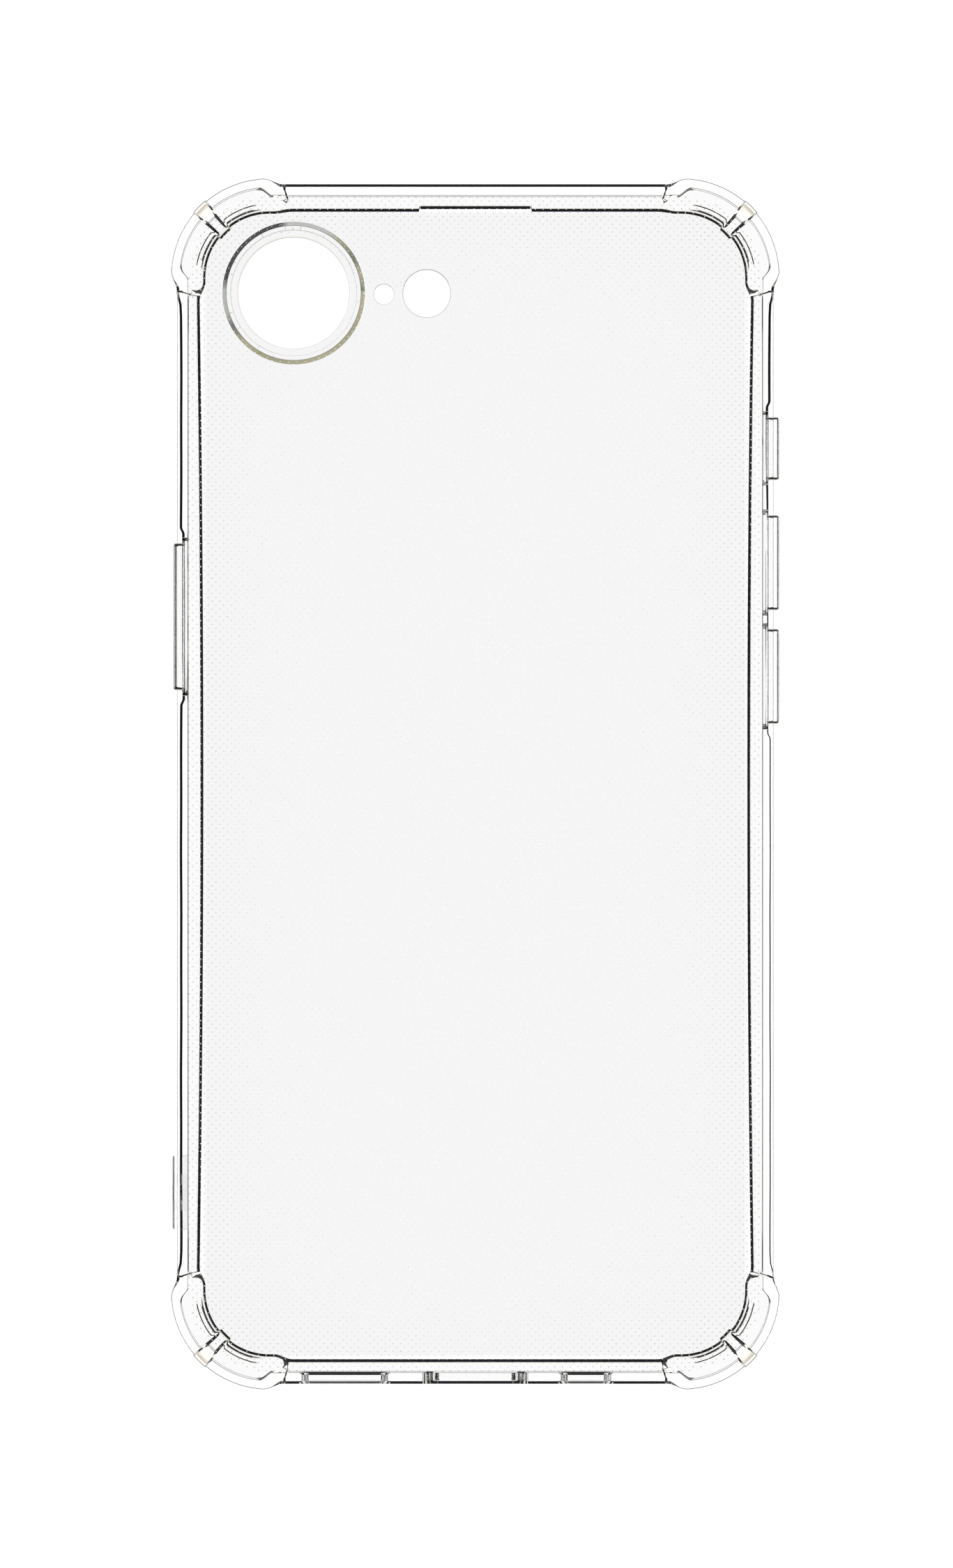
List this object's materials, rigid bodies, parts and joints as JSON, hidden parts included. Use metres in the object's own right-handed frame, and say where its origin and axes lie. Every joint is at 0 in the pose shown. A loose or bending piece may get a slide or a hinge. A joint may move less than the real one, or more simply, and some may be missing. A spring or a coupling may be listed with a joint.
{
  "type": "phone case",
  "caption": "Clear flexible phone case with hollow shock corners, a raised camera ring, pressable button covers, a lanyard bridge and a front lip.",
  "frame": {"origin": "centre of the footprint of the front lip, the plane the case lies on with its back up", "axes": "+Z out of the back of the case, +Y along the length towards the camera end, +X to the right when looking at the back with the camera end up"},
  "size_m": [0.076, 0.1512, 0.0114],
  "materials": {
    "clear_shell": "clear, colourless, glossy flexible plastic",
    "clear_button": "clear, colourless, glossy flexible plastic"
  },
  "bodies": {
    "case": {"back_panel": "clear_shell", "camera_guard_ring": "clear_shell", "left_wall": "clear_shell", "right_wall": "clear_shell", "top_wall": "clear_shell", "bottom_wall": "clear_shell", "left_lip": "clear_shell", "right_lip": "clear_shell", "top_lip": "clear_shell", "bottom_lip": "clear_shell", "lanyard_bridge": "clear_shell", "corner_cushion_top_right": "clear_shell", "corner_cushion_top_left": "clear_shell", "corner_cushion_bottom_left": "clear_shell", "corner_cushion_bottom_right": "clear_shell", "corner_lip_top_right": "clear_shell", "corner_lip_top_left": "clear_shell", "corner_lip_bottom_left": "clear_shell", "corner_lip_bottom_right": "clear_shell", "side_button_web": "clear_shell", "action_button_web": "clear_shell", "volume_up_button_web": "clear_shell", "volume_down_button_web": "clear_shell"},
    "side_button": {"side_button": "clear_button"},
    "action_button": {"action_button": "clear_button"},
    "volume_up_button": {"volume_up_button": "clear_button"},
    "volume_down_button": {"volume_down_button": "clear_button"}
  },
  "joints": [
    {"name": "side_press", "type": "slide", "parent": "case", "child": "side_button", "axis": [1, 0, 0], "range_m": [0, 0.00035], "stiffness_N_per_m": 2000, "deforming": ["side_button_web"]},
    {"name": "action_press", "type": "slide", "parent": "case", "child": "action_button", "axis": [-1, 0, 0], "range_m": [0, 0.00035], "stiffness_N_per_m": 2000, "deforming": ["action_button_web"]},
    {"name": "volume_up_press", "type": "slide", "parent": "case", "child": "volume_up_button", "axis": [-1, 0, 0], "range_m": [0, 0.00035], "stiffness_N_per_m": 2000, "deforming": ["volume_up_button_web"]},
    {"name": "volume_down_press", "type": "slide", "parent": "case", "child": "volume_down_button", "axis": [-1, 0, 0], "range_m": [0, 0.00035], "stiffness_N_per_m": 2000, "deforming": ["volume_down_button_web"]}
  ]
}
